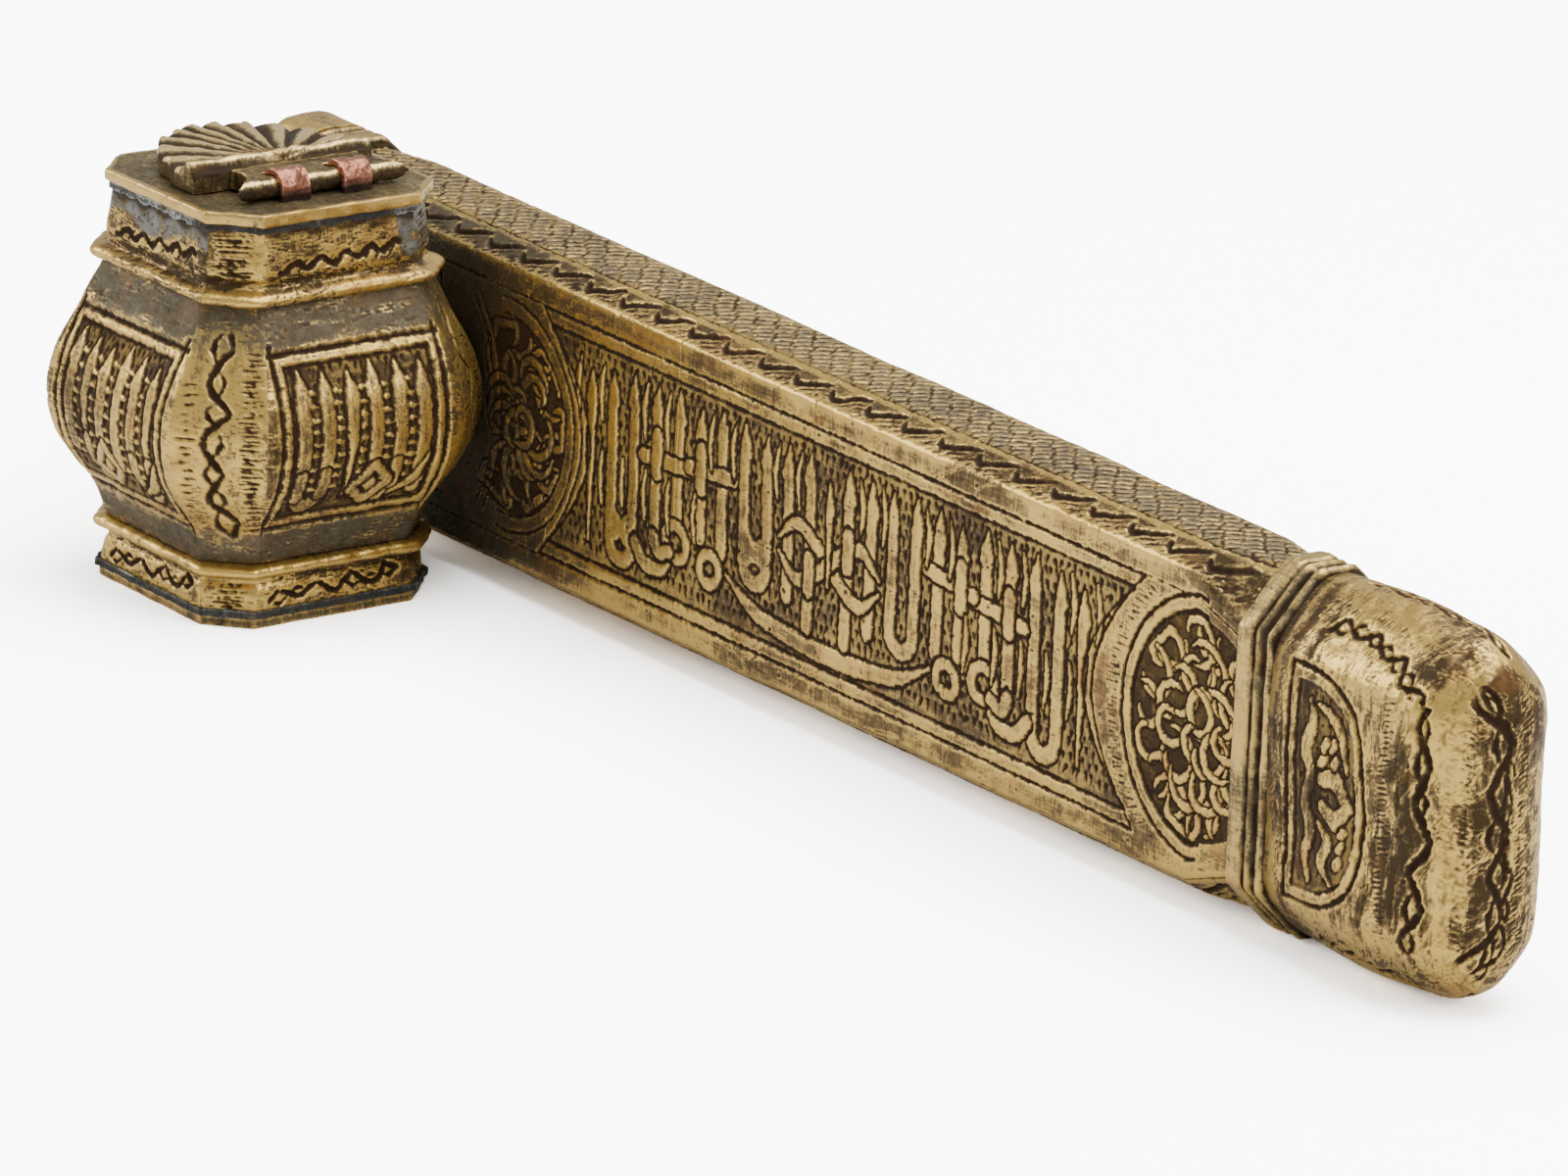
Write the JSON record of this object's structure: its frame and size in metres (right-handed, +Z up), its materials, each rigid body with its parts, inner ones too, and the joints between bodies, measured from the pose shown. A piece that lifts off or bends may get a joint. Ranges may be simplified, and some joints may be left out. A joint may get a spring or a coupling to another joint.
{
  "type": "scribe's pen case with inkwell",
  "caption": "Long octagonal engraved brass tube for pens with a hinged mouth lid, and a bulging square inkwell with a hinged shell lid fixed to its side.",
  "frame": {"origin": "on the floor under the middle of the whole object's box", "axes": "+X along the case towards its closed end, -Y towards the side that carries the inkwell, +Z up"},
  "size_m": [0.234, 0.0652, 0.0537],
  "materials": {
    "engraved_brass": "engraved, rubbed golden on the highs, brown-black in the cuts, olive patina",
    "plain_brass": "worn satin with fine scratches and olive patina",
    "cast_brass": "cast and filed, dull with bright edges",
    "copper": "hammered copper strip, half dull",
    "solder": "dull grey soft solder"
  },
  "bodies": {
    "case": {"case_tube": "engraved_brass", "near_collar": "plain_brass", "near_end_cap": "engraved_brass", "mouth_collar": "plain_brass", "mouth_hinge_knuckles": "plain_brass", "mouth_hinge_pin": "plain_brass", "inkwell_body": "engraved_brass", "inkwell_neck": "engraved_brass", "inkwell_foot": "engraved_brass", "inkwell_base_plate": "plain_brass", "inkwell_top_plate": "plain_brass", "inkwell_saddle": "solder", "top_plate_solder": "solder", "base_plate_solder": "solder", "ink_lid_staples": "copper"},
    "mouth_lid": {"mouth_lid": "engraved_brass", "mouth_lid_lip": "plain_brass", "mouth_lid_knuckle": "plain_brass"},
    "ink_lid": {"ink_lid_shell": "cast_brass", "ink_lid_hinge_bar": "cast_brass"}
  },
  "joints": [
    {"name": "mouth_lid_hinge", "type": "hinge", "parent": "case", "child": "mouth_lid", "pos_m": [-0.10648, 0.03102, 0.02218], "axis": [0, 0, -1], "range_deg": [0, 170]},
    {"name": "ink_lid_hinge", "type": "hinge", "parent": "case", "child": "ink_lid", "pos_m": [-0.0654, -0.00997, 0.0514], "axis": [0, 1, 0], "range_deg": [0, 115]}
  ]
}
